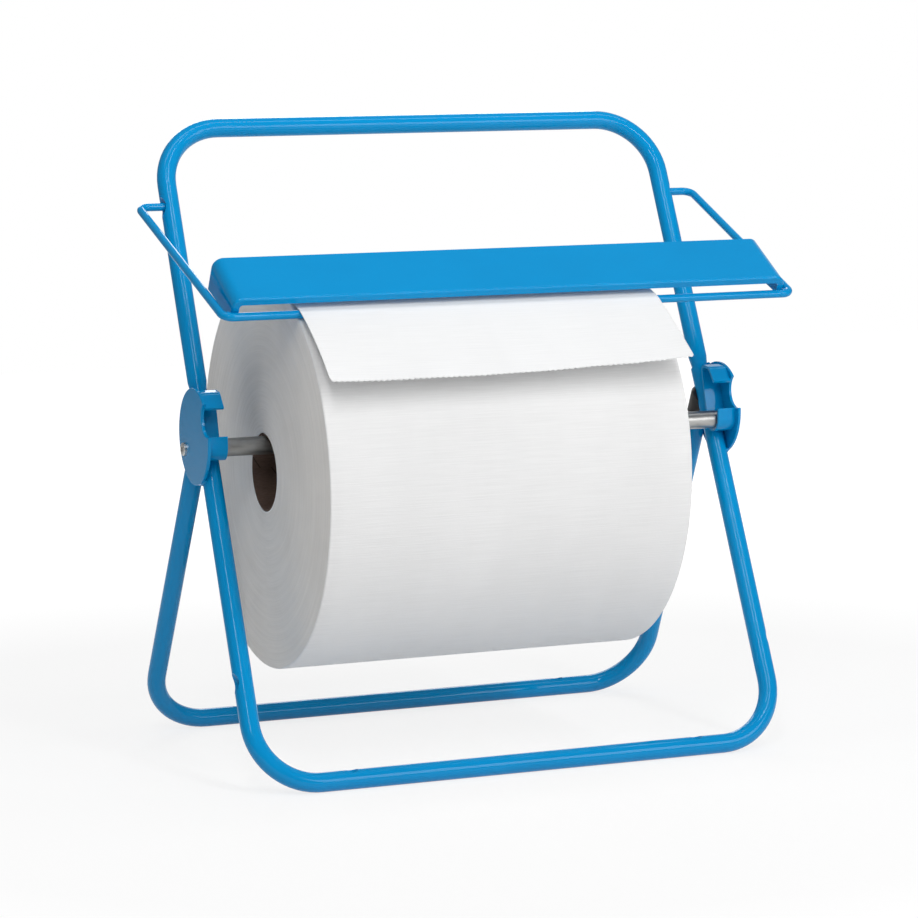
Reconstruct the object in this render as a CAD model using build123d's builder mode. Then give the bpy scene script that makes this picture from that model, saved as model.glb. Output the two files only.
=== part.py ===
from build123d import *
import os
from math import acos, atan2, cos, degrees, hypot, radians, sin, sqrt, tan

# Folding stand for a large paper roll: an A-frame of bent tube, a lift-out spindle
# in two hooks, and a hinged tear bar that rests on the paper.
# Millimetres, +Z up, +X to the stand's right-hand end, front towards -Y.
# Origin: on the floor, midway between the four screw holes of the two floor bars.

# Tube of the three hoops
tube_d = 19.0
tube_wall = 1.5
bend_r = 62.0
foot_spread = 346.0

# Main frame: the front hoop stands on the floor, the upper hoop plugs into it
front_tilt = 25.8
top_above_bail = 84.5
floor_width = 550.0
top_width = 540.0
joint_along = 398.5
swage_taper = 12.0
swage_depth = 45.0
swage_clearance = 0.1

# Rear hoop and the pivot that folds it
pivot_along = 352.0
pivot_offset = 29.5
rear_floor_width = 561.0
rear_inset = 0.7
rear_end_above_pivot = 11.0
fold_pin_clearance = 0.1

# Saddle plugs in the rear hoop's ends, which stop it against the main frame
plug_head_d = 24.5
plug_head_length = 26.5
plug_edge_r = 4.0
plug_stem_length = 18.0
plug_fit_gap = 0.1
saddle_gap = 0.4
plug_plate_gap = 0.4
plug_screw_gap = 0.3

# Pivot screws, washers and lock nuts
screw_d = 6.0
screw_head_d = 13.0
screw_head_height = 3.4
screw_head_edge_r = 1.4
recess_length = 6.0
recess_width = 1.3
recess_depth = 1.8
washer_d = 14.0
washer_bore_gap = 0.15
nut_flats = 10.0
nut_height = 6.0
nut_collar_d = 8.6
nut_collar_height = 2.0
nut_thread_gap = 0.05
end_play = 0.3
screw_tail = 2.0

# Side plates and spindle hooks
plate_t = 3.0
plate_d = 95.0
plate_along = 353.5
plate_forward = 2.0
plate_edge_r = 0.8
mouth_low = 336.0
mouth_high = 371.0
mouth_floor = 32.5
seat_gap = 0.05
strap_t = 3.0
strap_width = 19.2
hood_lip_along = 367.2
hood_lip_forward = 41.0
hood_front_along = 384.5
hood_front_forward = 36.0
hood_back_along = 394.0
hood_back_forward = 21.5
hood_bend_r = 5.0
wall_lean_along = 342.0
wall_lean_r = 20.0
wall_bend_r = 6.0
hook_inner_r = 10.5
lip_height = 12.0

# Spindle
spindle_d = 18.0
spindle_wall = 1.5
spindle_along = 334.0
spindle_side_gap = 0.6
spindle_seat_gap = 0.3
spindle_end_gap = 1.0
spindle_edge = 0.8

# Paper roll and its cardboard core
roll_d = 384.0
roll_left = -222.5
roll_length = 370.0
roll_edge_r = 1.5
core_d = 77.0
core_wall = 2.5
core_recess = 0.6
core_fit_gap = 0.05
core_hang_gap = 0.3

# Bail wire of the tear bar
wire_d = 8.0
wire_bend_r = 10.0
bail_along = 597.5
bail_rear_width = 607.0
bail_front_width = 592.0
arm_length = 262.3
wire_rest_gap = 0.3
bail_fit_gap = 0.08
stub_depth = 9.0

# Pressed seats in the tubes: for the bail, and for floor or wall screws
bail_seat_d = 20.0
bail_seat_depth = 6.5
spare_seat_along = 104.0
screw_hole_d = 6.5
screw_hole_pitch = 364.0
screw_seat_d = 13.0
screw_seat_depth = 3.6

# Tear plate
tear_t = 1.5
tear_depth = 70.0
tear_rake = 9.6
tear_setback = 1.2
tear_height = 17.5
tear_end_r = 10.5
tear_lip = 7.2
tear_lip_r = 2.2
tear_foot = 5.5
weld_gap = 0.05
weld_bite = 0.4

# Loose sheet that runs off the roll, over the wire and down in front
sheet_t = 0.6
sheet_gap = 0.3
sheet_wrap_deg = 25.0
flap_bend = 16.8
flap_length = 100.0

os.makedirs("parts", exist_ok=True)

# Worked-out sizes

tube_r = tube_d / 2
tube_inner_r = tube_r - tube_wall
wire_r = wire_d / 2
spindle_r = spindle_d / 2
roll_r = roll_d / 2
core_r = core_d / 2
screw_r = screw_d / 2
main_length = bail_along + top_above_bail
x_axis = Vector(1, 0, 0)
z_axis = Vector(0, 0, 1)
sin_front = sin(radians(front_tilt))
cos_front = cos(radians(front_tilt))


def main_point(along, forward):
    # Y and Z of a point given along the main legs from the front bar, and square to them
    y = -foot_spread / 2 + along * sin_front - forward * cos_front
    z = tube_r + along * cos_front + forward * sin_front
    return y, z


def leg_half(along):
    # half the distance between the main legs' axes, which draw in towards the top
    return (floor_width + (top_width - floor_width) * along / main_length) / 2


def leg_point(side, along):
    y, z = main_point(along, 0)
    return Vector(side * leg_half(along), y, z)


# The main frame's plane: X across, Y along the legs, Z forward out of the frame
main_plane = Plane(
    origin=(0, -foot_spread / 2, tube_r),
    x_dir=(1, 0, 0),
    z_dir=(0, -cos_front, sin_front),
)

# The rear hoop hangs on the pivot and stands on the rear bar
pivot_y, pivot_z = main_point(pivot_along, -pivot_offset)
rear_length = hypot(foot_spread / 2 - pivot_y, pivot_z - tube_r)
rear_tilt = atan2(foot_spread / 2 - pivot_y, pivot_z - tube_r)
rear_pivot_half = leg_half(pivot_along) - rear_inset
rear_end = rear_length + rear_end_above_pivot
rear_plane = Plane(
    origin=(0, foot_spread / 2, tube_r),
    x_dir=(1, 0, 0),
    z_dir=(0, -cos(rear_tilt), -sin(rear_tilt)),
)


def rear_half(up):
    # half the distance between the rear legs' axes, which draw in towards the pivot
    return rear_floor_width / 2 + (rear_pivot_half - rear_floor_width / 2) * up / rear_length


# Side plates stand just outside the main legs, at their widest beside the plate
plate_x = leg_half(plate_along - plate_d / 2) + tube_r + seat_gap
strap_x = plate_x - strap_width
strap_forward = tube_r + seat_gap + strap_t / 2

# The spindle lies in the hooks, in front of the straps' back walls
spindle_forward = strap_forward + strap_t / 2 + spindle_side_gap + spindle_r
spindle_y, spindle_z = main_point(spindle_along, spindle_forward)
spindle_half = plate_x - spindle_end_gap

# The roll hangs on the spindle by the top of its core
roll_y = spindle_y
roll_z = spindle_z + spindle_r + core_hang_gap - (core_r - core_wall)

# The bail turns in the upper hoop and its wire rests on the roll
bail_y, bail_z = main_point(bail_along, 0)
bail_to_roll = hypot(roll_y - bail_y, roll_z - bail_z)
roll_to_wire = roll_r + wire_r + wire_rest_gap
rest_angle = acos((bail_to_roll**2 + arm_length**2 - roll_to_wire**2) / (2 * bail_to_roll * arm_length))
arm_drop = atan2(bail_z - roll_z, bail_y - roll_y) - rest_angle
wire_y = bail_y - arm_length * cos(arm_drop)
wire_z = bail_z - arm_length * sin(arm_drop)
bail_plane = Plane(
    origin=(0, bail_y, bail_z),
    x_dir=(1, 0, 0),
    z_dir=(0, -sin(arm_drop), cos(arm_drop)),
)


def ring_section(path, outer_r, inner_r):
    # tube section square to the start of a path
    with BuildSketch(Plane(origin=path @ 0, z_dir=path % 0)) as section:
        Circle(outer_r)
        Circle(inner_r, mode=Mode.SUBTRACT)
    return section.sketch


def seat_pad(centre, run, outward, seat_d, depth):
    # the pressed-in metal behind a seat: a disc that fills the tube from mid-wall inwards
    with BuildPart() as pad:
        with Locations(Plane(origin=centre, z_dir=run)):
            Cylinder(tube_r - tube_wall / 2, 2 * seat_d)
        with Locations(Plane(origin=centre + outward * (tube_r - depth - tube_wall), z_dir=outward)):
            Cylinder(
                seat_d / 2,
                seat_d,
                align=(Align.CENTER, Align.CENTER, Align.MIN),
                mode=Mode.INTERSECT,
            )
    return pad.part


def seat_cut(centre, outward, seat_d, depth, hole_d, reach):
    # the funnel of a seat with its hole, which goes on inwards by reach; the funnel also
    # runs on outside the tube at the same slope, so that it leaves nothing of the skin
    flare = (seat_d - hole_d) / 2 / depth
    with BuildPart() as cut:
        with Locations(Plane(origin=centre + outward * (tube_r - depth), z_dir=outward)):
            Cone(
                hole_d / 2,
                seat_d / 2 + flare * tube_wall,
                depth + tube_wall,
                align=(Align.CENTER, Align.CENTER, Align.MIN),
            )
        with Locations(Plane(origin=centre + outward * tube_r, z_dir=outward)):
            Cylinder(hole_d / 2, reach, align=(Align.CENTER, Align.CENTER, Align.MAX))
    return cut.part


bail_hole_d = wire_d + 2 * bail_fit_gap
bail_seat_reach = bail_seat_depth + 2 * tube_wall
screw_reach = 2 * tube_d


def bail_seats(along):
    pads = []
    cuts = []
    for side in (-1, 1):
        centre = leg_point(side, along)
        run = leg_point(side, along + 1) - centre
        outward = x_axis * side
        pads.append(seat_pad(centre, run, outward, bail_seat_d, bail_seat_depth))
        cuts.append(seat_cut(centre, outward, bail_seat_d, bail_seat_depth, bail_hole_d, bail_seat_reach))
    return pads, cuts


def screw_seats(bar_y):
    pads = []
    cuts = []
    for side in (-1, 1):
        centre = Vector(side * screw_hole_pitch / 2, bar_y, tube_r)
        pads.append(seat_pad(centre, x_axis, z_axis, screw_seat_d, screw_seat_depth))
        cuts.append(seat_cut(centre, z_axis, screw_seat_d, screw_seat_depth, screw_hole_d, screw_reach))
    return pads, cuts


# Front hoop

with BuildLine(main_plane) as front_path:
    FilletPolyline(
        (-leg_half(joint_along), joint_along),
        (-leg_half(0), 0),
        (leg_half(0), 0),
        (leg_half(joint_along), joint_along),
        radius=bend_r,
    )
spare_pads, spare_cuts = bail_seats(spare_seat_along)
front_pads, front_cuts = screw_seats(-foot_spread / 2)

with BuildPart() as front_hoop:
    sweep(ring_section(front_path.line, tube_r, tube_inner_r), path=front_path.line)
    add(spare_pads + front_pads)
    add(spare_cuts + front_cuts, mode=Mode.SUBTRACT)
front_hoop.part.label = "front_hoop"
export_step(front_hoop.part, "parts/front_hoop.step")

# Upper hoop: its ends are drawn down to plug into the front hoop

shoulder_along = joint_along + swage_taper
tail_along = joint_along - swage_depth
swage_r = tube_inner_r - swage_clearance
with BuildLine(main_plane) as upper_path:
    FilletPolyline(
        (-leg_half(shoulder_along), shoulder_along),
        (-leg_half(main_length), main_length),
        (leg_half(main_length), main_length),
        (leg_half(shoulder_along), shoulder_along),
        radius=bend_r,
    )


def swaged_end(side):
    # drawn-down end of an upper leg: a cone to the joint, then a plain tail
    shoulder = leg_point(side, shoulder_along)
    tail_run = leg_point(side, tail_along) - shoulder
    tail_length = tail_run.length
    with BuildPart() as tail:
        with BuildSketch(Plane(origin=shoulder, x_dir=main_plane.z_dir, z_dir=main_plane.x_dir)):
            with BuildLine():
                Polyline(
                    (tube_inner_r, 0),
                    (tube_r, 0),
                    (swage_r, swage_taper),
                    (swage_r, tail_length),
                    (swage_r - tube_wall, tail_length),
                    (swage_r - tube_wall, swage_taper),
                    close=True,
                )
            make_face()
        revolve(axis=Axis(shoulder, main_plane.y_dir * -1))
    turn = tail_run.get_angle(main_plane.y_dir * -1)
    return tail.part.rotate(Axis(shoulder, main_plane.z_dir), side * turn)


upper_pads, upper_cuts = bail_seats(bail_along)
tails = [swaged_end(-1), swaged_end(1)]

with BuildPart() as upper_hoop:
    sweep(ring_section(upper_path.line, tube_r, tube_inner_r), path=upper_path.line)
    add(tails)
    add(upper_pads)
    add(upper_cuts, mode=Mode.SUBTRACT)
upper_hoop.part.label = "upper_hoop"
export_step(upper_hoop.part, "parts/upper_hoop.step")

# Rear hoop, with a pivot hole through each end

with BuildLine(rear_plane) as rear_path:
    FilletPolyline(
        (-rear_half(rear_end), rear_end),
        (-rear_half(0), 0),
        (rear_half(0), 0),
        (rear_half(rear_end), rear_end),
        radius=bend_r,
    )
rear_pads, rear_cuts = screw_seats(foot_spread / 2)

with BuildPart() as rear_hoop:
    sweep(ring_section(rear_path.line, tube_r, tube_inner_r), path=rear_path.line)
    add(rear_pads)
    add(rear_cuts, mode=Mode.SUBTRACT)
    for side in (-1, 1):
        with Locations(Plane(origin=(side * rear_pivot_half, pivot_y, pivot_z), z_dir=x_axis)):
            Cylinder(screw_r + fold_pin_clearance, 2 * tube_d, mode=Mode.SUBTRACT)
rear_hoop.part.label = "rear_hoop"
export_step(rear_hoop.part, "parts/rear_hoop.step")

# Saddle plugs: a stem in the tube, and a head hollowed to lie against the main leg


def rear_leg_point(side, up):
    return rear_plane.from_local_coords(Vector(side * rear_half(up), up, 0))


for side, side_name in ((-1, "left"), (1, "right")):
    plug_seat = rear_leg_point(side, rear_end)
    plug_plane = Plane(origin=plug_seat, z_dir=plug_seat - rear_leg_point(side, 0))
    main_leg = leg_point(side, pivot_along)
    main_leg_plane = Plane(origin=main_leg, z_dir=main_leg - leg_point(side, 0))
    with BuildPart() as leg_plug:
        with Locations(plug_plane):
            Cylinder(
                plug_head_d / 2,
                plug_head_length,
                align=(Align.CENTER, Align.CENTER, Align.MIN),
            )
        head_rims = leg_plug.edges().filter_by(GeomType.CIRCLE).group_by(Axis(plug_seat, plug_plane.z_dir))
        fillet(head_rims[-1], radius=plug_edge_r)
        with Locations(plug_plane):
            Cylinder(
                tube_inner_r - plug_fit_gap,
                plug_stem_length,
                align=(Align.CENTER, Align.CENTER, Align.MAX),
            )
        with Locations(main_leg_plane):
            Cylinder(tube_r + saddle_gap, main_length / 2, mode=Mode.SUBTRACT)
        with Locations(main_plane):
            Box(
                2 * floor_width,
                2 * main_length,
                2 * plug_head_length,
                align=(Align.CENTER, Align.CENTER, Align.MIN),
                mode=Mode.SUBTRACT,
            )
        with Locations(Plane(origin=(side * (plate_x - plug_plate_gap), pivot_y, pivot_z), z_dir=x_axis * side)):
            Box(
                4 * plug_head_length,
                4 * plug_head_length,
                plug_head_d,
                align=(Align.CENTER, Align.CENTER, Align.MIN),
                mode=Mode.SUBTRACT,
            )
        with Locations(Plane(origin=(side * rear_pivot_half, pivot_y, pivot_z), z_dir=x_axis)):
            Cylinder(screw_r + plug_screw_gap, 2 * tube_d, mode=Mode.SUBTRACT)
    leg_plug.part.label = f"{side_name}_leg_plug"
    export_step(leg_plug.part, f"parts/{side_name}_leg_plug.step")

# Side plates: round, with a round mouth for the spindle and the pivot hole

side_plane = Plane(
    origin=(plate_x, -foot_spread / 2, tube_r),
    x_dir=main_plane.y_dir,
    z_dir=(1, 0, 0),
)
mouth_r = (mouth_high - mouth_low) / 2

with BuildPart() as right_side_plate:
    with BuildSketch(side_plane):
        with Locations((plate_along, plate_forward)):
            Circle(plate_d / 2)
        with Locations(((mouth_low + mouth_high) / 2, mouth_floor + mouth_r)):
            Circle(mouth_r, mode=Mode.SUBTRACT)
        with Locations((pivot_along, -pivot_offset)):
            Circle(screw_r + washer_bore_gap, mode=Mode.SUBTRACT)
    extrude(amount=plate_t)
    outer_rim = right_side_plate.faces().sort_by(Axis.X)[-1].outer_wire().edges()
    fillet(outer_rim, radius=plate_edge_r)
right_side_plate.part.label = "right_side_plate"
export_step(right_side_plate.part, "parts/right_side_plate.step")

with BuildPart() as left_side_plate:
    mirror(right_side_plate.part, about=Plane.YZ)
left_side_plate.part.label = "left_side_plate"
export_step(left_side_plate.part, "parts/left_side_plate.step")

# Hook straps: hood over the mouth, back wall that leans off the leg, hook and lip for the spindle

hook_y = spindle_y - hook_inner_r - strap_t / 2
hook_z = spindle_z - spindle_r - spindle_seat_gap - strap_t / 2
wall_foot_along = (hook_z - tube_r - strap_forward * sin_front) / cos_front

with BuildPart() as right_hook_strap:
    with BuildSketch(Plane.YZ.offset(strap_x)):
        with BuildLine():
            FilletPolyline(
                main_point(hood_lip_along, hood_lip_forward),
                main_point(hood_front_along, hood_front_forward),
                main_point(hood_back_along, hood_back_forward),
                main_point(wall_lean_along, strap_forward),
                main_point(wall_foot_along, strap_forward),
                (hook_y, hook_z),
                (hook_y, spindle_z + lip_height),
                radius=[hood_bend_r, hood_bend_r, wall_lean_r, wall_bend_r, hook_inner_r + strap_t / 2],
            )
        trace(line_width=strap_t)
    extrude(amount=strap_width)
right_hook_strap.part.label = "right_hook_strap"
export_step(right_hook_strap.part, "parts/right_hook_strap.step")

with BuildPart() as left_hook_strap:
    mirror(right_hook_strap.part, about=Plane.YZ)
left_hook_strap.part.label = "left_hook_strap"
export_step(left_hook_strap.part, "parts/left_hook_strap.step")

# Pivot screws, washers and lock nuts, made on the right and mirrored to the left

pivot_centre = Vector(0, pivot_y, pivot_z)
screw_seat_x = plate_x + plate_t
nut_seat_x = rear_pivot_half - tube_r - end_play
washer_t = plate_x - rear_pivot_half - tube_r - end_play
screw_length = screw_seat_x - nut_seat_x + nut_height + nut_collar_height + screw_tail

with BuildPart() as right_pivot_screw:
    with BuildSketch(Plane(origin=pivot_centre + x_axis * screw_seat_x, z_dir=x_axis)):
        Circle(screw_head_d / 2)
    extrude(amount=screw_head_height)
    head_rim = right_pivot_screw.edges().filter_by(GeomType.CIRCLE).sort_by(Axis.X)[-1]
    fillet(head_rim, radius=screw_head_edge_r)
    with BuildSketch(Plane(origin=pivot_centre + x_axis * (screw_seat_x + screw_head_height), z_dir=x_axis)):
        Rectangle(recess_length, recess_width, rotation=45)
        Rectangle(recess_width, recess_length, rotation=45)
    extrude(amount=-recess_depth, mode=Mode.SUBTRACT)
    with BuildSketch(Plane(origin=pivot_centre + x_axis * screw_seat_x, z_dir=x_axis)):
        Circle(screw_r)
    extrude(amount=-screw_length)
right_pivot_screw.part.label = "right_pivot_screw"
export_step(right_pivot_screw.part, "parts/right_pivot_screw.step")

with BuildPart() as right_pivot_washer:
    with BuildSketch(Plane(origin=pivot_centre + x_axis * plate_x, z_dir=x_axis)):
        Circle(washer_d / 2)
        Circle(screw_r + washer_bore_gap, mode=Mode.SUBTRACT)
    extrude(amount=-washer_t)
right_pivot_washer.part.label = "right_pivot_washer"
export_step(right_pivot_washer.part, "parts/right_pivot_washer.step")

with BuildPart() as right_pivot_nut:
    with BuildSketch(Plane(origin=pivot_centre + x_axis * nut_seat_x, z_dir=x_axis)):
        RegularPolygon(nut_flats / 2, 6, major_radius=False)
        Circle(screw_r + nut_thread_gap, mode=Mode.SUBTRACT)
    extrude(amount=-nut_height)
    with BuildSketch(Plane(origin=pivot_centre + x_axis * (nut_seat_x - nut_height), z_dir=x_axis)):
        Circle(nut_collar_d / 2)
        Circle(screw_r + nut_thread_gap, mode=Mode.SUBTRACT)
    extrude(amount=-nut_collar_height)
right_pivot_nut.part.label = "right_pivot_nut"
export_step(right_pivot_nut.part, "parts/right_pivot_nut.step")

for fastener in (right_pivot_screw, right_pivot_washer, right_pivot_nut):
    with BuildPart() as left_fastener:
        mirror(fastener.part, about=Plane.YZ)
    left_name = fastener.part.label.replace("right", "left")
    left_fastener.part.label = left_name
    export_step(left_fastener.part, f"parts/{left_name}.step")

# Spindle

with BuildPart() as spindle_tube:
    with BuildSketch(Plane(origin=(-spindle_half, spindle_y, spindle_z), z_dir=x_axis)):
        Circle(spindle_r)
        Circle(spindle_r - spindle_wall, mode=Mode.SUBTRACT)
    extrude(amount=2 * spindle_half)
    spindle_rims = spindle_tube.edges().filter_by(GeomType.CIRCLE)
    chamfer(spindle_rims.filter_by(lambda rim: rim.radius > spindle_r - spindle_wall / 2), length=spindle_edge)
spindle_tube.part.label = "spindle_tube"
export_step(spindle_tube.part, "parts/spindle_tube.step")

# Paper roll and core

with BuildPart() as paper_roll:
    with BuildSketch(Plane(origin=(roll_left, roll_y, roll_z), z_dir=x_axis)):
        Circle(roll_r)
        Circle(core_r + core_fit_gap, mode=Mode.SUBTRACT)
    extrude(amount=roll_length)
    roll_rims = paper_roll.edges().filter_by(GeomType.CIRCLE)
    fillet(roll_rims.filter_by(lambda rim: rim.radius > roll_r - roll_edge_r), radius=roll_edge_r)
paper_roll.part.label = "paper_roll"
export_step(paper_roll.part, "parts/paper_roll.step")

with BuildPart() as roll_core:
    with BuildSketch(Plane(origin=(roll_left + core_recess, roll_y, roll_z), z_dir=x_axis)):
        Circle(core_r)
        Circle(core_r - core_wall, mode=Mode.SUBTRACT)
    extrude(amount=roll_length - 2 * core_recess)
roll_core.part.label = "roll_core"
export_step(roll_core.part, "parts/roll_core.step")

# Bail wire: two stubs in the upper hoop, two arms and the run that lies on the roll

stub_x = leg_half(bail_along) + tube_r - stub_depth
bail_points = [
    (-stub_x, 0),
    (-bail_rear_width / 2, 0),
    (-bail_front_width / 2, -arm_length),
    (bail_front_width / 2, -arm_length),
    (bail_rear_width / 2, 0),
    (stub_x, 0),
]
with BuildLine(bail_plane) as bail_path:
    FilletPolyline(*bail_points, radius=wire_bend_r)
with BuildSketch(Plane(origin=bail_path.line @ 0, z_dir=bail_path.line % 0)) as wire_section:
    Circle(wire_r)

with BuildPart() as bail_wire:
    sweep(wire_section.sketch, path=bail_path.line)
bail_wire.part.label = "bail_wire"
export_step(bail_wire.part, "parts/bail_wire.step")

# Tear plate: a sheet with its ends folded down to the bail's front corners, where they
# are welded, and its front edge turned in all round

tear_pitch = arm_drop + radians(tear_rake)
tear_front = arm_length - tear_setback
tear_plane = Plane(
    origin=bail_plane.from_local_coords(Vector(0, -tear_front, tear_height)),
    x_dir=(1, 0, 0),
    z_dir=(0, -sin(tear_pitch), cos(tear_pitch)),
)
corner_reach = wire_bend_r - tear_setback - tear_height * tan(radians(tear_rake))
corner_room = sqrt((wire_bend_r - wire_r) ** 2 - corner_reach**2)
tear_half = bail_front_width / 2 - wire_bend_r + corner_room + weld_bite
tear_flange = tear_height + tear_depth
tear_section = Plane(origin=tear_plane.origin, x_dir=(1, 0, 0), z_dir=tear_plane.y_dir * -1)

with BuildSketch(Plane(origin=bail_path.line @ 0, z_dir=bail_path.line % 0)) as weld_section:
    Circle(wire_r + weld_gap)
with BuildPart() as weld_room:
    sweep(weld_section.sketch, path=bail_path.line)


def folded_section(metal):
    # flat top and two folded ends, that much metal measured inwards from the outer face
    with BuildSketch(tear_section) as section:
        with BuildLine():
            FilletPolyline(
                (-tear_half + metal / 2, -tear_flange),
                (-tear_half + metal / 2, -metal / 2),
                (tear_half - metal / 2, -metal / 2),
                (tear_half - metal / 2, -tear_flange),
                radius=tear_end_r - metal / 2,
            )
        trace(line_width=metal)
    return section.sketch


with BuildPart() as tear_plate:
    extrude(folded_section(tear_t), amount=-tear_depth)
    extrude(folded_section(tear_lip), amount=-tear_t)
    front_edges = tear_plate.edges().filter_by(Axis.X).filter_by(lambda edge: edge.length > tear_half)
    fillet(front_edges.sort_by(Axis(tear_plane.origin, tear_plane.z_dir - tear_plane.y_dir))[-1], radius=tear_lip_r)
    with Locations(bail_plane.offset(-tear_foot)):
        Box(
            bail_rear_width,
            2 * arm_length,
            2 * tear_flange,
            align=(Align.CENTER, Align.CENTER, Align.MAX),
            mode=Mode.SUBTRACT,
        )
    add(weld_room.part, mode=Mode.SUBTRACT)
tear_plate.part.label = "tear_plate"
export_step(tear_plate.part, "parts/tear_plate.step")

# Loose sheet: lies on the roll's top, passes over the wire and hangs out in front

sheet_roll_r = roll_r + wire_rest_gap + sheet_t / 2
sheet_wire_r = wire_r + sheet_gap + sheet_t / 2
wire_bearing = atan2(wire_z - roll_z, wire_y - roll_y)
leave_bearing = wire_bearing - acos((sheet_roll_r - sheet_wire_r) / roll_to_wire)
flap_bearing = leave_bearing + radians(flap_bend)
flap_drop = degrees(flap_bearing) - 90


def around(centre_y, centre_z, radius, bearing):
    return centre_y + radius * cos(bearing), centre_z + radius * sin(bearing)


flap_start_y, flap_start_z = around(wire_y, wire_z, sheet_wire_r, flap_bearing)
flap_end = (
    flap_start_y - flap_length * cos(radians(flap_drop)),
    flap_start_z - flap_length * sin(radians(flap_drop)),
)

with BuildPart() as paper_sheet:
    with BuildSketch(Plane.YZ.offset(roll_left)):
        with BuildLine():
            CenterArc(
                (roll_y, roll_z),
                sheet_roll_r,
                degrees(leave_bearing) - sheet_wrap_deg,
                sheet_wrap_deg,
            )
            Line(
                around(roll_y, roll_z, sheet_roll_r, leave_bearing),
                around(wire_y, wire_z, sheet_wire_r, leave_bearing),
            )
            CenterArc(
                (wire_y, wire_z),
                sheet_wire_r,
                degrees(leave_bearing),
                degrees(flap_bearing - leave_bearing),
            )
            Line((flap_start_y, flap_start_z), flap_end)
        trace(line_width=sheet_t)
    extrude(amount=roll_length)
paper_sheet.part.label = "paper_sheet"
export_step(paper_sheet.part, "parts/paper_sheet.step")
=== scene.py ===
import bmesh
import bpy
import numpy as np
from mathutils import Matrix, Vector


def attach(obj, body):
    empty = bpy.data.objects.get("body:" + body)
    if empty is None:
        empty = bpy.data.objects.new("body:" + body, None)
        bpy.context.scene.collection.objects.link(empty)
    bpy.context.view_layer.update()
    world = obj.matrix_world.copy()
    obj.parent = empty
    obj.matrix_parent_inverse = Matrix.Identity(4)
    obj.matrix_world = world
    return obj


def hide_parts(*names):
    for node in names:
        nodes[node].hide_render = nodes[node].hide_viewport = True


# Looks of a folding stand for a wide paper roll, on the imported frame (metres, front towards -Y)
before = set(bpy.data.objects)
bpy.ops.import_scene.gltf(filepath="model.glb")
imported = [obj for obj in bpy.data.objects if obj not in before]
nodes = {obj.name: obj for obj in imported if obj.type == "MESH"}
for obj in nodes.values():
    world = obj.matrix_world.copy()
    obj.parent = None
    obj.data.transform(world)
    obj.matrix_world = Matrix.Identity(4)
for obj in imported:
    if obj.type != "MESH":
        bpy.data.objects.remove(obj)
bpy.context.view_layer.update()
print("frame loaded:", len(nodes), "nodes")


# Small helpers for meshes

def gridMesh(name, grid, uvGrid, wrapRows=False, wrapCols=False, rowSlots=None):
    # grid[i, j] is a point and each face joins four neighbours; a wrapped side joins its last line
    # to its first
    rows, cols = grid.shape[:2]
    i, j = np.meshgrid(np.arange(rows - (not wrapRows)), np.arange(cols - (not wrapCols)), indexing="ij")
    corners = [(i, j), (i + 1, j), (i + 1, j + 1), (i, j + 1)]
    quads = np.stack([(a % rows) * cols + b % cols for a, b in corners], axis=-1).reshape(-1, 4)
    uv = np.stack([uvGrid[a, b] for a, b in corners], axis=-2).reshape(-1, 2)
    mesh = bpy.data.meshes.new(name)
    mesh.from_pydata(grid.reshape(-1, 3), [], quads)
    mesh.uv_layers.new(name="run").data.foreach_set("uv", uv.astype(np.float32).ravel())
    mesh.polygons.foreach_set("use_smooth", np.ones(len(quads), dtype=bool))
    if rowSlots is not None:
        mesh.polygons.foreach_set("material_index", np.repeat(rowSlots, i.shape[1]).astype(np.int32))
    mesh.update()
    piece = bpy.data.objects.new(name, mesh)
    bpy.context.collection.objects.link(piece)
    return piece


def closeUp(piece):
    # merges the points that meet at poles, then turns every face outwards
    work = bmesh.new()
    work.from_mesh(piece.data)
    bmesh.ops.remove_doubles(work, verts=work.verts, dist=1e-6)
    bmesh.ops.recalc_face_normals(work, faces=work.faces)
    work.to_mesh(piece.data)
    work.free()


def smoothStep(value, low, high):
    # 0 up to low, 1 from high on, and an S curve between: 3 t squared less 2 t cubed
    t = np.clip((value - low) / (high - low), 0.0, 1.0)
    return t * t * (3.0 - 2.0 * t)


uvShift = 0.3   # added to X where X runs along U, so that U stays positive


# Small helpers for materials

def startMaterial(name):
    # a new material with its node tree, its shader and its texture coordinates
    material = bpy.data.materials.new(name)
    material.use_nodes = True
    tree = material.node_tree
    return material, tree, tree.nodes["Principled BSDF"], tree.nodes.new("ShaderNodeTexCoord")


def setInputs(node, **values):
    # sets sockets by name, where an underscore stands for a space
    for key, value in values.items():
        node.inputs[key.replace("_", " ")].default_value = value
    return node


def noiseField(tree, place, scale, stretch=(1, 1, 1), detail=2.0, rough=0.5):
    # noise from 0 to 1, squeezed along each axis by the stretch numbers
    mapping = setInputs(tree.nodes.new("ShaderNodeMapping"), Scale=stretch)
    noise = setInputs(tree.nodes.new("ShaderNodeTexNoise"), Scale=scale, Detail=detail, Roughness=rough)
    tree.links.new(place, mapping.inputs["Vector"])
    tree.links.new(mapping.outputs["Vector"], noise.inputs["Vector"])
    return noise.outputs["Fac"]


def spread(tree, value, low, high, fromLow=0.3, fromHigh=0.7):
    # a value between fromLow and fromHigh laid out between low and high, and held there outside
    ramp = tree.nodes.new("ShaderNodeMapRange")
    setInputs(ramp, From_Min=fromLow, From_Max=fromHigh, To_Min=low, To_Max=high)
    tree.links.new(value, ramp.inputs["Value"])
    return ramp.outputs["Result"]


def reckon(tree, kind, first, second=None):
    # one sum on numbers or sockets
    node = tree.nodes.new("ShaderNodeMath")
    node.operation = kind
    for socket, value in zip(node.inputs, (first, second)):
        if isinstance(value, (int, float)):
            socket.default_value = value
        elif value is not None:
            tree.links.new(value, socket)
    return node.outputs["Value"]


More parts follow.
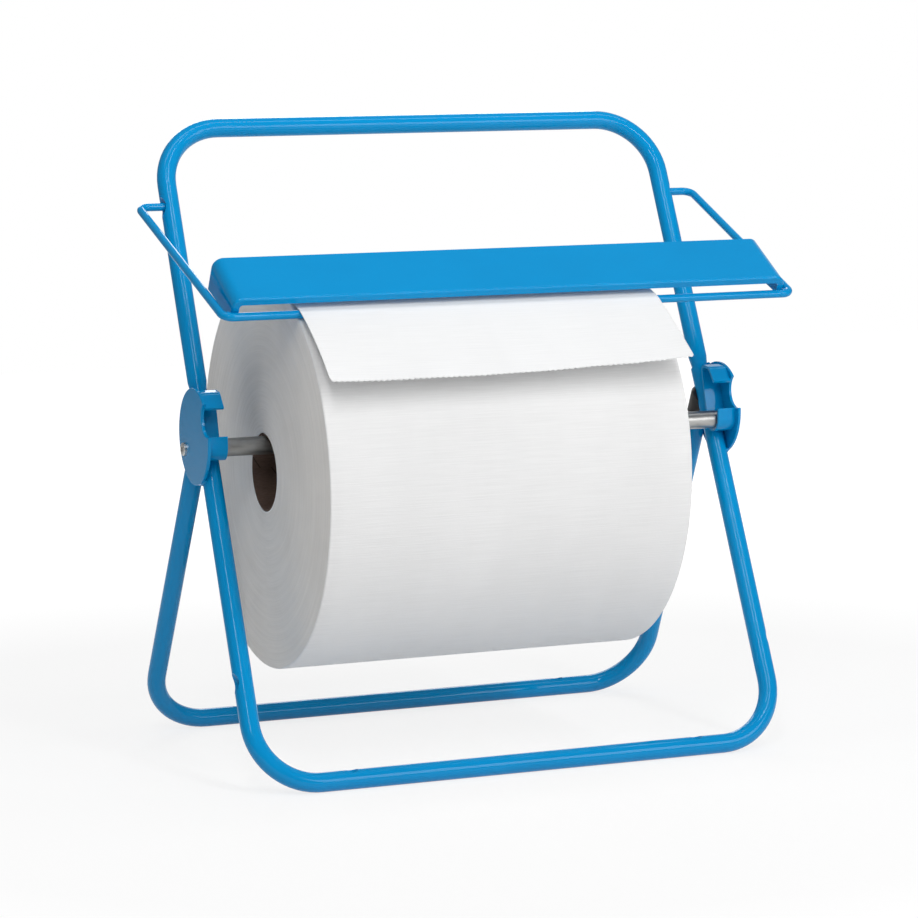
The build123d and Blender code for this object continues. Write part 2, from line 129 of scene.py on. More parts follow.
def tint(tree, factor, first, second):
    # colour between two colours, each given as three numbers or as a socket
    mix = tree.nodes.new("ShaderNodeMix")
    mix.data_type = "RGBA"
    tree.links.new(factor, mix.inputs[0])
    for socket, value in ((mix.inputs[6], first), (mix.inputs[7], second)):
        if isinstance(value, tuple):
            socket.default_value = value + (1.0,)
        else:
            tree.links.new(value, socket)
    return mix.outputs[2]


def emboss(tree, shader, height, strength, distance, under=None):
    # fine relief on the shader, over an earlier relief where one is given
    bump = setInputs(tree.nodes.new("ShaderNodeBump"), Strength=strength, Distance=distance)
    tree.links.new(height, bump.inputs["Height"])
    if under is not None:
        tree.links.new(under, bump.inputs["Normal"])
    tree.links.new(bump.outputs["Normal"], shader.inputs["Normal"])
    return bump.outputs["Normal"]


# Blue powder coat: even colour with faint clouds, orange peel, and rubbed paint where the spindle lies

coatFinish = {
    "colour": (0.0, 0.285, 0.63),
    "deeper": (0.0, 0.265, 0.59),
    "bareMetal": (0.30, 0.31, 0.32),
    "peelPerMetre": 420.0,
    "gloss": (0.06, 0.09),                      # roughness, from and to
    "shine": 0.2,
    "spindleAxis": (0.0, -0.047575, 0.319847),
    "rubReach": 0.0112,                         # rubbed this far from the spindle's axis
    "rubEdge": 0.0006,
}


def blueCoat(name, rubbed=False):
    f = coatFinish
    material, tree, shader, coords = startMaterial(name)
    place = coords.outputs["Object"]
    clouds = spread(tree, noiseField(tree, place, scale=9.0, detail=3.0), 0.0, 1.0)
    colour = tint(tree, clouds, f["colour"], f["deeper"])
    gloss = spread(tree, noiseField(tree, place, scale=55.0, detail=3.0), *f["gloss"])
    if rubbed:
        # distance from the spindle's axis, with the run along X left out
        flat = tree.nodes.new("ShaderNodeMapping")
        flat.vector_type = "TEXTURE"
        setInputs(flat, Location=f["spindleAxis"], Scale=(1e6, 1.0, 1.0))
        tree.links.new(place, flat.inputs["Vector"])
        reach = tree.nodes.new("ShaderNodeVectorMath")
        reach.operation = "LENGTH"
        tree.links.new(flat.outputs["Vector"], reach.inputs[0])
        near = spread(tree, reach.outputs["Value"], 1.0, 0.0, f["rubReach"] - f["rubEdge"], f["rubReach"])
        scratches = noiseField(tree, place, scale=260.0, stretch=(0.4, 1, 1), detail=4.0)
        scuffs = spread(tree, scratches, 0.0, 1.0, fromLow=0.42, fromHigh=0.55)
        rub = reckon(tree, "MULTIPLY", near, scuffs)
        colour = tint(tree, rub, colour, f["bareMetal"])
        tree.links.new(rub, shader.inputs["Metallic"])
    tree.links.new(colour, shader.inputs["Base Color"])
    tree.links.new(gloss, shader.inputs["Roughness"])
    peel = noiseField(tree, place, scale=f["peelPerMetre"], detail=1.0)
    emboss(tree, shader, peel, strength=0.07, distance=0.0004)
    setInputs(shader, Specular_IOR_Level=f["shine"])
    return material


# Bare metals and black plastic

metalFinish = {
    "zinc": (0.62, 0.62, 0.6),
    "zincDull": (0.46, 0.46, 0.45),
    "zincRough": (0.26, 0.42),
    "steel": (0.42, 0.42, 0.41),
    "steelDark": (0.17, 0.165, 0.16),
    "steelRough": (0.3, 0.44),
}
plugFinish = {
    "colour": (0.012, 0.011, 0.011),
    "worn": (0.03, 0.028, 0.028),
    "rough": (0.38, 0.52),
}


def zincPlate(name):
    # dull plating: blotches of two greys under a fine grain
    f = metalFinish
    material, tree, shader, coords = startMaterial(name)
    place = coords.outputs["Object"]
    blotch = spread(tree, noiseField(tree, place, scale=240.0, detail=4.0), 0.0, 1.0)
    tree.links.new(tint(tree, blotch, f["zinc"], f["zincDull"]), shader.inputs["Base Color"])
    rough = spread(tree, noiseField(tree, place, scale=500.0), *f["zincRough"])
    tree.links.new(rough, shader.inputs["Roughness"])
    emboss(tree, shader, noiseField(tree, place, scale=1600.0), strength=0.08, distance=0.0002)
    setInputs(shader, Metallic=1.0)
    return material


def drawnSteel(name):
    # lengthwise drawing marks along X with darker smears of oil
    f = metalFinish
    material, tree, shader, coords = startMaterial(name)
    place = coords.outputs["Object"]
    lines = noiseField(tree, place, scale=900.0, stretch=(0.012, 1, 1), detail=3.0)
    oil = noiseField(tree, place, scale=90.0, stretch=(0.35, 1, 1), detail=4.0)
    smears = spread(tree, oil, 0.0, 0.75, fromLow=0.42, fromHigh=0.66)
    tree.links.new(tint(tree, smears, f["steel"], f["steelDark"]), shader.inputs["Base Color"])
    tree.links.new(spread(tree, lines, *f["steelRough"]), shader.inputs["Roughness"])
    emboss(tree, shader, lines, strength=0.12, distance=0.0002)
    setInputs(shader, Metallic=1.0)
    return material


def blackPlug(name):
    # moulded black plastic, greyer and rougher where it is worn
    f = plugFinish
    material, tree, shader, coords = startMaterial(name)
    place = coords.outputs["Object"]
    wear = spread(tree, noiseField(tree, place, scale=120.0, detail=4.0), 0.0, 1.0)
    tree.links.new(tint(tree, wear, f["colour"], f["worn"]), shader.inputs["Base Color"])
    rough = spread(tree, wear, *f["rough"], fromLow=0.0, fromHigh=1.0)
    tree.links.new(rough, shader.inputs["Roughness"])
    emboss(tree, shader, noiseField(tree, place, scale=1500.0), strength=0.12, distance=0.0002)
    return material


# Paper and board

paperFinish = {
    "side": (0.86, 0.86, 0.86),
    "sideShade": (0.79, 0.79, 0.79),
    "sheet": (0.86, 0.865, 0.87),
    "sheetShade": (0.80, 0.805, 0.81),
    "face": (0.86, 0.835, 0.80),
    "faceShade": (0.70, 0.68, 0.65),
    "paintedBoreHighlight": (0.95, 0.94, 0.92),   # painted highlight: the bore's edge drawn paler, as if lit
    "paintedBoreHighlightR": 0.0397,              # and how far out the painted highlight reaches
    "rough": (0.75, 0.9),
    "crepePerMetre": 950.0,
}
boardFinish = {
    "colour": (0.15, 0.095, 0.07),
    "dark": (0.075, 0.047, 0.036),
    "seam": (0.045, 0.028, 0.02),
    "rough": (0.72, 0.9),
    "stripWidth": 0.085,
    "seamWidth": 0.016,   # as a share of the strip
    "seamSlant": 0.7,
}


def crepePaper(name, pale, shade, depth):
    # fine creases across the web: quick along V, slow along U, over a soft fibre mottle
    f = paperFinish
    material, tree, shader, coords = startMaterial(name)
    place = coords.outputs["UV"]
    creases = noiseField(tree, place, scale=f["crepePerMetre"], stretch=(0.02, 1, 1), detail=2.0)
    fibre = noiseField(tree, place, scale=420.0, detail=4.0)
    mottle = noiseField(tree, place, scale=14.0, stretch=(1.0, 0.4, 1), detail=3.0)
    tone = reckon(tree, "ADD", spread(tree, creases, 0.0, 0.6), spread(tree, mottle, 0.0, 0.5))
    tree.links.new(tint(tree, tone, pale, shade), shader.inputs["Base Color"])
    tree.links.new(spread(tree, fibre, *f["rough"]), shader.inputs["Roughness"])
    under = emboss(tree, shader, fibre, strength=0.15, distance=0.0003)
    emboss(tree, shader, creases, strength=depth, distance=0.0006, under=under)
    setInputs(shader, Sheen_Weight=0.15, Sheen_Roughness=0.5, Specular_IOR_Level=0.25)
    return material


def windingFace(name):
    # edges of the wound layers: rings by the radius, which is U on the faces, and a slow unevenness; a
    # pale ring round the bore is a painted highlight
    f = paperFinish
    material, tree, shader, coords = startMaterial(name)
    place = coords.outputs["UV"]
    fine = noiseField(tree, place, scale=1500.0, stretch=(1, 0.006, 1), detail=2.0)
    broad = noiseField(tree, place, scale=170.0, stretch=(1, 0.02, 1), detail=3.0)
    patches = noiseField(tree, coords.outputs["Object"], scale=16.0, detail=3.0)
    tone = reckon(tree, "ADD", spread(tree, fine, 0.0, 0.45), spread(tree, broad, 0.0, 0.35))
    tone = reckon(tree, "ADD", tone, spread(tree, patches, -0.1, 0.3))
    layers = tint(tree, tone, f["face"], f["faceShade"])
    parts = tree.nodes.new("ShaderNodeSeparateXYZ")
    tree.links.new(place, parts.inputs["Vector"])
    # painted highlight: the layers nearest the bore are drawn paler, as if their edges caught the light
    paintedBoreHighlightMask = reckon(tree, "LESS_THAN", parts.outputs["X"], f["paintedBoreHighlightR"])
    tree.links.new(tint(tree, paintedBoreHighlightMask, layers, f["paintedBoreHighlight"]), shader.inputs["Base Color"])
    under = emboss(tree, shader, broad, strength=0.2, distance=0.0006)
    emboss(tree, shader, fine, strength=0.35, distance=0.0005, under=under)
    setInputs(shader, Roughness=0.9, Sheen_Weight=0.4, Sheen_Roughness=0.6, Specular_IOR_Level=0.2)
    return material


def spiralBoard(name):
    # kraft board wound in a spiral: U runs along the tube and V around it, so a seam is where U and a
    # share of V add up to a whole number of strips
    f = boardFinish
    material, tree, shader, coords = startMaterial(name)
    place = coords.outputs["UV"]
    parts = tree.nodes.new("ShaderNodeSeparateXYZ")
    tree.links.new(place, parts.inputs["Vector"])
    slant = reckon(tree, "MULTIPLY", parts.outputs["Y"], f["seamSlant"])
    turn = reckon(tree, "ADD", parts.outputs["X"], slant)
    strip = reckon(tree, "FRACT", reckon(tree, "DIVIDE", turn, f["stripWidth"]))
    seam = reckon(tree, "LESS_THAN", strip, f["seamWidth"])
    fibre = noiseField(tree, place, scale=700.0, stretch=(0.25, 1, 1), detail=4.0)
    blotch = noiseField(tree, place, scale=40.0, detail=3.0)
    tone = reckon(tree, "ADD", spread(tree, fibre, 0.0, 0.5), spread(tree, blotch, 0.0, 0.5))
    kraft = tint(tree, tone, f["colour"], f["dark"])
    tree.links.new(tint(tree, seam, kraft, f["seam"]), shader.inputs["Base Color"])
    tree.links.new(spread(tree, fibre, *f["rough"]), shader.inputs["Roughness"])
    emboss(tree, shader, reckon(tree, "SUBTRACT", fibre, seam), strength=0.3, distance=0.0004)
    setInputs(shader, Specular_IOR_Level=0.25)
    return material


# Which finish goes on which node: the coat, unless one of the others is named

coat = blueCoat("blue_coat_gloss")
rubbedCoat = blueCoat("blue_coat_rubbed", rubbed=True)
finishOfNode = {name: coat for name in nodes}
finishOfNode.update({name: rubbedCoat for name in nodes if "hook_strap" in name})
zinc = zincPlate("zinc_fastener")
finishOfNode.update({name: zinc for name in nodes if "pivot_" in name})
plug = blackPlug("black_leg_plug")
finishOfNode.update({name: plug for name in nodes if "leg_plug" in name})
finishOfNode["spindle_tube"] = drawnSteel("drawn_steel")
for name, material in finishOfNode.items():
    for slot in nodes[name].material_slots:
        slot.material = material
print("finishes on the rigid nodes")


# The wound roll and its core

woundRoll = {
    "centre": (-0.047575, 0.293147),   # Y and Z of the roll's axis
    "left": -0.2225,
    "right": 0.1475,
    "outerR": 0.192,
    "boreR": 0.03855,
    "edgeR": 0.0018,
    "slipOfLayers": 0.0005,            # how far single layers stand back from the face
    "slipInBunches": 0.45,             # share of the slip that whole bunches of rings have together
    "ringsPerBunch": 6,
    "slipFade": 0.006,                 # no slip at the rim, all of it this far in
    "unevenness": 0.0003,
    "unevenFade": 0.03,
    # each wave's share, how often it goes round, its twist per metre of length, and its shift
    "waves": ((0.25, 2, 0, 0.7), (0.15, 3, 18, 0.0), (0.1, 5, -31, 0.0)),
    "boreInset": 0.004,
    "around": 168,
    "rings": 118,
    "rimSteps": 6,
    "sideSteps": 30,
    "boreSteps": 4,
}


def windRoll(r):
    # a closed profile turned round the axis: each face steps in and out by layer, the rim is a quarter
    # circle, and the outer surface dips by a few slow waves round the roll
    dice = np.random.default_rng(11)
    rings = r["rings"]
    left, right = r["left"], r["right"]
    radii = np.linspace(r["boreR"], r["outerR"] - r["edgeR"], rings)
    single = dice.random((2, rings))
    bunches = dice.random((2, rings // r["ringsPerBunch"] + 1))
    bunched = np.repeat(bunches, r["ringsPerBunch"], axis=1)[:, :rings]
    slip = (1 - r["slipInBunches"]) * single + r["slipInBunches"] * bunched
    slip *= r["slipOfLayers"] * smoothStep(r["outerR"] - radii, 0.0, r["slipFade"])
    quarter = np.linspace(0.0, np.pi / 2, r["rimSteps"])[1:]
    rimR = r["outerR"] - r["edgeR"] + r["edgeR"] * np.sin(quarter)
    rimX = r["edgeR"] * (1.0 - np.cos(quarter))
    runX = np.linspace(left + r["edgeR"], right - r["edgeR"], r["sideSteps"])[1:-1]
    boreX = np.linspace(right - r["boreInset"], left + r["boreInset"], r["boreSteps"])
    # left face, left rim, side, right rim, right face and bore, as runs of X, radius and 1 for a face
    runs = [
        (left + slip[0], radii, 1),
        (left + rimX, rimR, 0),
        (runX, np.full(len(runX), r["outerR"]), 0),
        (right - rimX[::-1], rimR[::-1], 0),
        (right - slip[1][::-1], radii[::-1], 1),
        (boreX, np.full(len(boreX), r["boreR"]), 1),
    ]
    x = np.concatenate([run[0] for run in runs])
    rad = np.concatenate([run[1] for run in runs])
    faceRow = np.concatenate([np.full(len(run[0]), run[2]) for run in runs])
    angle = -np.pi / 2 + np.linspace(0.0, 2 * np.pi, r["around"] + 1)
    a, xx = np.meshgrid(angle, x)
    rr = np.repeat(rad[:, None], len(angle), axis=1)
    waves = [share * np.sin(turns * a + twist * xx + shift) for share, turns, twist, shift in r["waves"]]
    dip = 0.5 + sum(waves)
    rr = rr - r["unevenness"] * dip * smoothStep(rr, r["outerR"] - r["unevenFade"], r["outerR"])
    grid = np.stack([xx, r["centre"][0] + rr * np.cos(a), r["centre"][1] + rr * np.sin(a)], axis=-1)
    across = np.where(faceRow > 0, rad, x + uvShift)
    uv = np.stack([np.repeat(across[:, None], len(angle), axis=1), (a + np.pi / 2) * r["outerR"]], axis=-1)
    uv = np.concatenate([uv, uv[:1]], axis=0)
    piece = gridMesh("woundRoll", grid[:, :-1], uv, wrapRows=True, wrapCols=True, rowSlots=faceRow)
    crepe = crepePaper("crepe_roll_side", paperFinish["side"], paperFinish["sideShade"], depth=0.35)
    piece.data.materials.append(crepe)
    piece.data.materials.append(windingFace("wound_layers_and_painted_highlight"))
    return piece


boardCore = {
    "left": -0.2219,
    "right": 0.1469,
    "outerR": 0.0385,
    "innerR": 0.036,
    "chamfer": 0.0004,
    "steps": 24,
    "around": 96,
}


def rollCore(c, centre):
    # a tube: its wall's outline, with chamfered ends, turned round the roll's axis
    k = c["chamfer"]
    outer, inner = c["outerR"], c["innerR"]
    along = np.linspace(c["left"] + k, c["right"] - k, c["steps"])
    x = np.concatenate([[c["left"]], along, [c["right"], c["right"]], along[::-1], [c["left"]]])
    outside = np.full(c["steps"], outer)
    inside = np.full(c["steps"], inner)
    rad = np.concatenate([[outer - k], outside, [outer - k, inner + k], inside, [inner + k]])
    angle = np.linspace(0.0, 2 * np.pi, c["around"] + 1)
    a, xx = np.meshgrid(angle, x)
    rr = np.repeat(rad[:, None], len(angle), axis=1)
    grid = np.stack([xx, centre[0] + rr * np.cos(a), centre[1] + rr * np.sin(a)], axis=-1)
    uv = np.stack([xx + uvShift, a * inner], axis=-1)
    uv = np.concatenate([uv, uv[:1]], axis=0)
    piece = gridMesh("boardCore", grid[:, :-1], uv, wrapRows=True, wrapCols=True)
    piece.data.materials.append(spiralBoard("spiral_board"))
    return piece


roll = windRoll(woundRoll)
closeUp(roll)
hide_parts("paper_roll")
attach(roll, "roll")
core = rollCore(boardCore, woundRoll["centre"])
closeUp(core)
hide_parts("roll_core")
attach(core, "roll")
print("roll wound:", len(roll.data.polygons), "faces; core:", len(core.data.polygons))


# The loose sheet: off the roll's top, over the wire, out under the tear plate's lip

looseSheet = {
    "left": -0.2225,
    "right": 0.1475,
    "thickness": 0.0003,
    "onRollR": 0.1926,
    "leaveBearing": 107.6753,   # degrees round the roll where the sheet leaves it
    "wrap": 25.0,               # degrees of the sheet that still lie on the roll
    "toWire": 0.0570,           # straight run from the roll to the wire
    "flap": 0.1015,
    "slantOfTear": -0.0025,     # the torn edge is longer to the left
    "dropLeft": 35.0,           # mean slope of the flap at its two edges, and more in the middle
    "dropRight": 32.4,
    "dropMore": 3.4,
    "dropRound": 0.7,           # below 1 the middle is flatter and the edges are steeper
    "curlLeft": 8.0,            # change of slope from the wire to the edge, halved
    "curlRight": 2.0,
    "toothPitch": 0.0056,
    "toothDepth": 0.0016,
    "toothUneven": 0.45,        # share of the depth that differs from tooth to tooth
    "cornerR": (0.004, 0.0015),   # left and right
    "ripples": ((0.006, 2.1, 0.2), (0.004, 4.3, 0.6)),   # slope, waves across the sheet, and shift
    "rippleFrom": 0.01,           # metres past the wire
    "overWire": (-0.005, 0.006),  # the bend over the wire starts and ends here
    "tuck": 0.0012,               # the hidden end dips into the roll by this much
    "tuckRun": 0.03,
    "rows": 92,
    "teethSteps": 5,
}


def drapeSheet(s, centre):
    # the slope is a function of the length along the sheet: it grows evenly on the roll, holds to the
    # wire, eases into the flap and curls on from there; its sine and cosine added up give the place
    dice = np.random.default_rng(5)
    wide = s["right"] - s["left"]
    teeth = int(round(wide / s["toothPitch"]))
    x = np.linspace(s["left"], s["right"], teeth * s["teethSteps"] + 1)
    span = (x - s["left"]) / wide
    phase = (span * teeth) % 1.0
    depths = 1.0 - s["toothUneven"] + s["toothUneven"] * dice.random(teeth + 2)
    uneven = np.interp(span * teeth, np.arange(teeth + 2), depths)
    tooth = s["toothDepth"] * uneven * np.sin(np.pi * phase) ** 2
    edgeGap = np.minimum(x - s["left"], s["right"] - x)
    cornerR = np.where(span < 0.5, *s["cornerR"])
    inCorner = np.clip(1.0 - edgeGap / cornerR, 0.0, 1.0)
    rounding = cornerR * (1.0 - np.sqrt(1.0 - inCorner ** 2))
    onRoll = np.radians(s["wrap"]) * s["onRollR"]
    flatLength = onRoll + s["toWire"] + s["flap"]
    whole = flatLength + s["slantOfTear"] * (2 * span - 1) + tooth - s["toothDepth"] / 2 - rounding
    v = np.linspace(0.0, 1.0, s["rows"])[:, None]
    run = v * whole[None, :]
    rollSlope = np.radians(s["leaveBearing"] - 90.0 - s["wrap"]) + np.minimum(run, onRoll) / s["onRollR"]
    past = run - onRoll - s["toWire"]
    drop = s["dropLeft"] + (s["dropRight"] - s["dropLeft"]) * span
    drop = drop + s["dropMore"] * (4 * span * (1 - span)) ** s["dropRound"]
    curl = s["curlLeft"] + (s["curlRight"] - s["curlLeft"]) * smoothStep(span, 0.0, 0.5)
    flapSlope = np.radians(drop[None, :] + curl[None, :] * (2 * np.clip(past / s["flap"], 0, 1) - 1))
    ripple = sum(size * np.sin(2 * np.pi * (span * waves + shift)) for size, waves, shift in s["ripples"])
    flapSlope = flapSlope + ripple[None, :] * smoothStep(past, s["rippleFrom"], s["flap"])
    ease = smoothStep(past, *s["overWire"])
    slope = rollSlope * (1 - ease) + flapSlope * ease
    step = np.diff(run, axis=0)
    middle = (slope[1:] + slope[:-1]) / 2
    first = np.radians(s["leaveBearing"] - s["wrap"])
    zero = np.zeros((1, len(x)))
    forward = np.concatenate([zero, np.cumsum(np.cos(middle) * step, axis=0)])
    down = np.concatenate([zero, np.cumsum(np.sin(middle) * step, axis=0)])
    y = centre[0] + s["onRollR"] * np.cos(first) - forward
    z = centre[1] + s["onRollR"] * np.sin(first) - down
    # the far end dips into the outer layer, so that the sheet grows out of the roll
    dip = s["tuck"] * (1 - smoothStep(run, 0.0, s["tuckRun"]))
    y = y + dip * np.sin(rollSlope)
    z = z - dip * np.cos(rollSlope)
    grid = np.stack([np.repeat(x[None, :], len(v), axis=0), y, z], axis=-1)
    uv = np.stack([grid[..., 0] + uvShift, run], axis=-1)
    piece = gridMesh("looseSheet", grid, uv)
    crepe = crepePaper("crepe_sheet", paperFinish["sheet"], paperFinish["sheetShade"], depth=0.22)
    piece.data.materials.append(crepe)
    skin = piece.modifiers.new("thickness", "SOLIDIFY")
    skin.thickness = s["thickness"]
    skin.offset = 0.0
    return piece, (wide, flatLength)


sheet, sheetSize = drapeSheet(looseSheet, woundRoll["centre"])
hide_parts("paper_sheet")
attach(sheet, "tear_bar")
print("sheet draped:", [round(n, 4) for n in sheetSize], "m flat")


# Weld beads under the paint

beadSize = {
    "radius": 0.0016,
    "puddles": 9.0,
    "swell": 0.16,
    "bluntness": 8,   # the higher, the blunter the ends
    "around": 14,
    "uvLength": 0.02,
}
mainLeg = {
    "tilt": 25.8,
    "foot": (-0.173, 0.0095),    # Y and Z where the leg's axis starts
    "halfAtFoot": 0.275,
    "drawIn": 0.005 / 0.682,     # the legs draw together by this share of the way up
    "tubeR": 0.0095,
}
sidePlate = {
    "along": 0.3535,             # up the leg from its foot
    "forward": 0.002,
    "radius": 0.0475,
    "beadReach": 0.0062,
    "beadProud": 0.0002,
    "beadSteps": 46,
}
bailCorner = {
    "axis": (0.087051, 0.54744),   # Y and Z of the bail's pivot
    "drop": 20.6066,
    "across": 0.286,
    "out": 0.2523,
    "innerR": 0.0058,
    "beadTurn": (12.0, 62.0),
    "beadRise": 0.0012,
    "beadSteps": 40,
}


def weldBead(name, path, body):
    # a tube along the path: its radius swells once per puddle and shrinks to nothing at both ends
    b = beadSize
    t = np.linspace(0.0, 1.0, len(path))
    run = np.gradient(path, axis=0)
    run /= np.linalg.norm(run, axis=1, keepdims=True)
    askew = np.array([0.31, 0.62, 0.72])   # a direction that no bead runs in
    side = np.cross(run, askew)
    side /= np.linalg.norm(side, axis=1, keepdims=True)
    other = np.cross(run, side)
    radius = b["radius"] * np.sqrt(np.clip(1 - (2 * t - 1) ** b["bluntness"], 0, 1))
    radius = radius * (1 + b["swell"] * np.abs(np.sin(np.pi * b["puddles"] * t)))
    angle = np.linspace(0.0, 2 * np.pi, b["around"] + 1)
    a = angle[None, :, None]
    ring = np.cos(a) * side[:, None, :] + np.sin(a) * other[:, None, :]
    grid = path[:, None, :] + radius[:, None, None] * ring
    uv = np.stack(np.meshgrid(angle * b["radius"], t * b["uvLength"]), axis=-1)
    piece = gridMesh(name, grid[:, :-1], uv, wrapCols=True)
    piece.data.materials.append(coat)
    closeUp(piece)
    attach(piece, body)


def plateBeadPath(side, end):
    # where the side plate's rim crosses the leg, as a curve over the forward distance
    p, leg = sidePlate, mainLeg
    forward = np.linspace(-p["beadReach"], p["beadReach"], p["beadSteps"])
    along = p["along"] + end * np.sqrt(p["radius"] ** 2 - (forward - p["forward"]) ** 2)
    tilt = np.radians(leg["tilt"])
    y = leg["foot"][0] + along * np.sin(tilt) - forward * np.cos(tilt)
    z = leg["foot"][1] + along * np.cos(tilt) + forward * np.sin(tilt)
    half = leg["halfAtFoot"] - leg["drawIn"] * along
    x = half + np.sqrt(leg["tubeR"] ** 2 - forward ** 2) + p["beadProud"]
    return np.stack([side * x, y, z], axis=-1)


def cornerBeadPath(side):
    # round the inside of the bail's front corner, beside the tear plate's folded end
    c = bailCorner
    turn = np.radians(np.linspace(*c["beadTurn"], c["beadSteps"]))
    across = c["across"] + c["innerR"] * np.sin(turn)
    out = c["out"] + c["innerR"] * np.cos(turn)
    drop = np.radians(c["drop"])
    y = c["axis"][0] - out * np.cos(drop) - c["beadRise"] * np.sin(drop)
    z = c["axis"][1] - out * np.sin(drop) + c["beadRise"] * np.cos(drop)
    return np.stack([side * across, y, z], axis=-1)


for side, sideName in ((-1, "left"), (1, "right")):
    weldBead(sideName + "PlateTopWeld", plateBeadPath(side, 1), "frame")
    weldBead(sideName + "PlateFootWeld", plateBeadPath(side, -1), "frame")
    weldBead(sideName + "TearPlateWeld", cornerBeadPath(side), "tear_bar")
print("welds laid")


# Stage, light and camera

studio = {
    "floorSize": 8.0,
    "floorBounce": (0.84, 0.84, 0.84),
    "floorShadow": 0.22,         # how much of the white floor is real light, so how dark the shadow is
    "floorGlow": (0.78, 1.0),    # near the stand and far from it
    "glowReach": (0.7, 1.7),
    "dimLeft": (-0.9, -0.4),     # left of this a shiny surface shows the plain floor, not the white one
    "roomLight": (0.26, 0.24),   # from the left and from the right
    "roomTurn": (-0.7, 0.7),     # the X of a direction where left ends and right starts
    # along each axis of a direction, where the mirrored backdrop starts and where it is all white
    "backdropEdges": (("X", -0.1, 0.15), ("X", 0.85, 0.6), ("Y", -0.1, 0.2), ("Z", 0.7, 0.45)),
}
lamps = {
    "rightStrip": {"place": (0.5, -2.36, 2.5), "size": (0.35, 1.9), "power": 24.0},
    "leftStrip": {"place": (-1.2, -2.2, 2.5), "size": (0.35, 1.9), "power": 24.0},
    "lowFill": {"place": (1.5, -2.9, 1.2), "size": (1.7, 1.3), "power": 30.0},
    "topStrip": {"place": (0.0, -0.15, 1.5), "size": (1.7, 0.2), "power": 4.0},
    "backFill": {"place": (0.5, 2.6, 1.7), "size": (1.8, 1.4), "power": 24.0},
}


def seenDirectly(tree, mirrored=1.0):
    # 1 for rays from the camera or through glass, and the mirrored share for rays off a shiny surface
    path = tree.nodes.new("ShaderNodeLightPath")
    shiny = reckon(tree, "MULTIPLY", path.outputs["Is Glossy Ray"], mirrored)
    both = reckon(tree, "MAXIMUM", path.outputs["Is Camera Ray"], shiny)
    return reckon(tree, "MAXIMUM", both, path.outputs["Is Transmission Ray"])


def paleFloor(s):
    # a square that bounces plain light, and looks white with a soft shadow where it is seen directly
    half = s["floorSize"] / 2
    corners = [(-half, -half, 0), (half, -half, 0), (half, half, 0), (-half, half, 0)]
    mesh = bpy.data.meshes.new("studioFloor")
    mesh.from_pydata(corners, [], [(0, 1, 2, 3)])
    floor = bpy.data.objects.new("studioFloor", mesh)
    bpy.context.collection.objects.link(floor)
    material = bpy.data.materials.new("pale_floor")
    material.use_nodes = True
    tree = material.node_tree
    tree.nodes.clear()
    out = tree.nodes.new("ShaderNodeOutputMaterial")
    bounce = setInputs(tree.nodes.new("ShaderNodeBsdfDiffuse"), Color=s["floorBounce"] + (1.0,))
    shown = setInputs(tree.nodes.new("ShaderNodeBsdfDiffuse"), Color=(s["floorShadow"],) * 3 + (1.0,))
    glow = tree.nodes.new("ShaderNodeEmission")
    coords = tree.nodes.new("ShaderNodeTexCoord")
    away = tree.nodes.new("ShaderNodeVectorMath")
    away.operation = "LENGTH"
    tree.links.new(coords.outputs["Object"], away.inputs[0])
    strength = spread(tree, away.outputs["Value"], *s["floorGlow"], *s["glowReach"])
    tree.links.new(strength, glow.inputs["Strength"])
    both = tree.nodes.new("ShaderNodeAddShader")
    pick = tree.nodes.new("ShaderNodeMixShader")
    tree.links.new(shown.outputs[0], both.inputs[0])
    tree.links.new(glow.outputs[0], both.inputs[1])
    sides = tree.nodes.new("ShaderNodeSeparateXYZ")
    tree.links.new(coords.outputs["Object"], sides.inputs["Vector"])
    whiteShare = spread(tree, sides.outputs["X"], 0.0, 1.0, *s["dimLeft"])
    tree.links.new(seenDirectly(tree, whiteShare), pick.inputs[0])
    tree.links.new(bounce.outputs[0], pick.inputs[1])
    tree.links.new(both.outputs[0], pick.inputs[2])
    tree.links.new(pick.outputs[0], out.inputs["Surface"])
    mesh.materials.append(material)


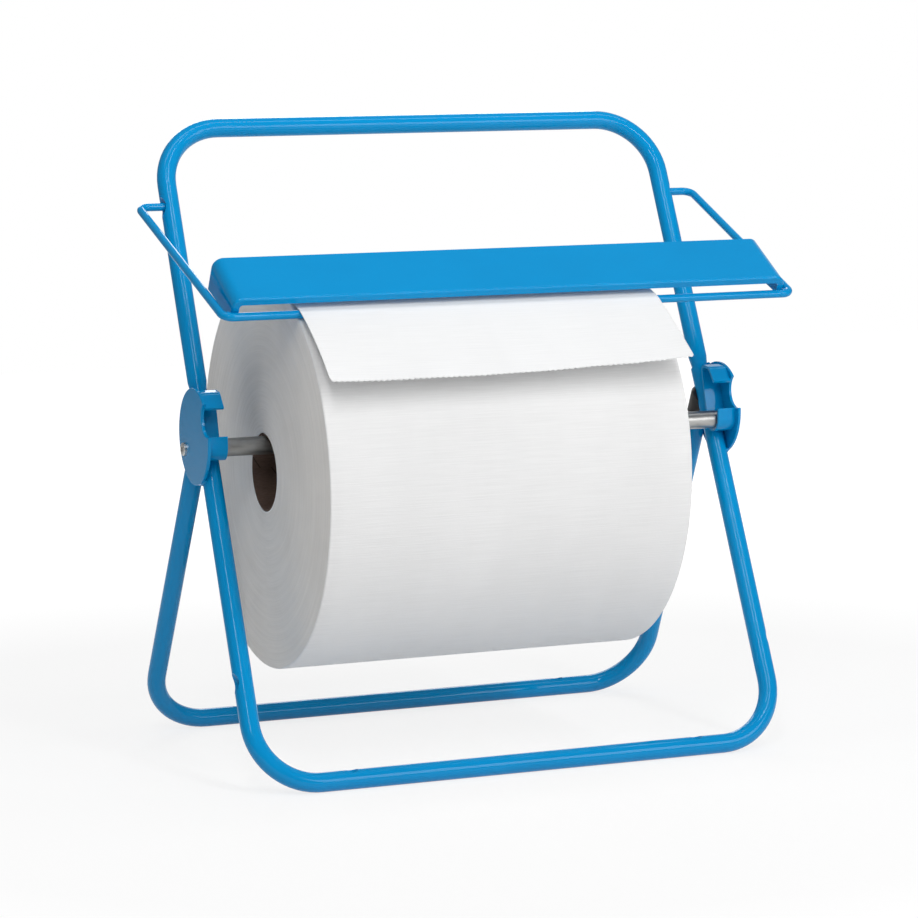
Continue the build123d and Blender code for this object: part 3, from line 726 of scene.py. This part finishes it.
def studioRoom(s):
    # an even room light, a little stronger from the left, and a white background
    world = bpy.data.worlds.new("studioRoom")
    world.use_nodes = True
    tree = world.node_tree
    sky = tree.nodes["Background"]
    sky.inputs["Color"].default_value = (1.0, 1.0, 1.0, 1.0)
    coords = tree.nodes.new("ShaderNodeTexCoord")
    parts = tree.nodes.new("ShaderNodeSeparateXYZ")
    tree.links.new(coords.outputs["Generated"], parts.inputs["Vector"])
    room = spread(tree, parts.outputs["X"], *s["roomLight"], *s["roomTurn"])
    # shiny surfaces show the white backdrop behind the stand, and the dimmer room beside it, above it
    # and in front
    backdrop = 1.0
    for axis, start, white in s["backdropEdges"]:
        edge = spread(tree, parts.outputs[axis], 0.0, 1.0, start, white)
        backdrop = reckon(tree, "MULTIPLY", edge, backdrop)
    tree.links.new(reckon(tree, "MAXIMUM", room, seenDirectly(tree, backdrop)), sky.inputs["Strength"])
    bpy.context.scene.world = world


def softBox(name, place, size, power, aim=(0.0, 0.0, 0.32)):
    # a flat lamp that faces the middle of the stand and isn't in the picture itself
    light = bpy.data.lights.new(name, "AREA")
    light.shape = "RECTANGLE"
    light.size, light.size_y = size
    light.energy = power
    lamp = bpy.data.objects.new(name, light)
    lamp.location = place
    lamp.visible_camera = False
    lamp.rotation_euler = (Vector(aim) - Vector(place)).to_track_quat("-Z", "Y").to_euler()
    bpy.context.collection.objects.link(lamp)


photoCamera = {
    "place": (-1.26038, -3.1512, 0.70746),
    "yaw": 21.82,
    "pitch": 7.04,
    "roll": -0.68,
    "focalPixels": 3380.36,
    "imageSide": 918.0,
    "sensor": 36.0,
}


def setCamera(c):
    # the view turns by yaw about Z, looks down by pitch, then tips by roll about its own line of sight
    yaw, pitch, tip = np.radians([c["yaw"], c["pitch"], c["roll"]])
    ahead = np.array([np.sin(yaw), np.cos(yaw), 0.0])
    right = np.array([np.cos(yaw), -np.sin(yaw), 0.0])
    ahead = np.cos(pitch) * ahead - np.sin(pitch) * np.array([0.0, 0.0, 1.0])
    up = np.cross(right, ahead)
    tippedRight = np.cos(tip) * right + np.sin(tip) * up
    tippedUp = np.cos(tip) * up - np.sin(tip) * right
    turn = Matrix(np.stack([tippedRight, tippedUp, -ahead], axis=1).tolist())
    data = bpy.data.cameras.new("photoCamera")
    data.sensor_width = c["sensor"]
    data.lens = c["focalPixels"] * c["sensor"] / c["imageSide"]
    data.clip_end = 50.0
    camera = bpy.data.objects.new("photoCamera", data)
    camera.matrix_world = Matrix.Translation(c["place"]) @ turn.to_4x4()
    bpy.context.collection.objects.link(camera)
    bpy.context.scene.camera = camera


paleFloor(studio)
studioRoom(studio)
for name, lamp in lamps.items():
    softBox(name, **lamp)
setCamera(photoCamera)
bpy.context.scene.view_settings.view_transform = "Standard"
print("stage, light and camera set")
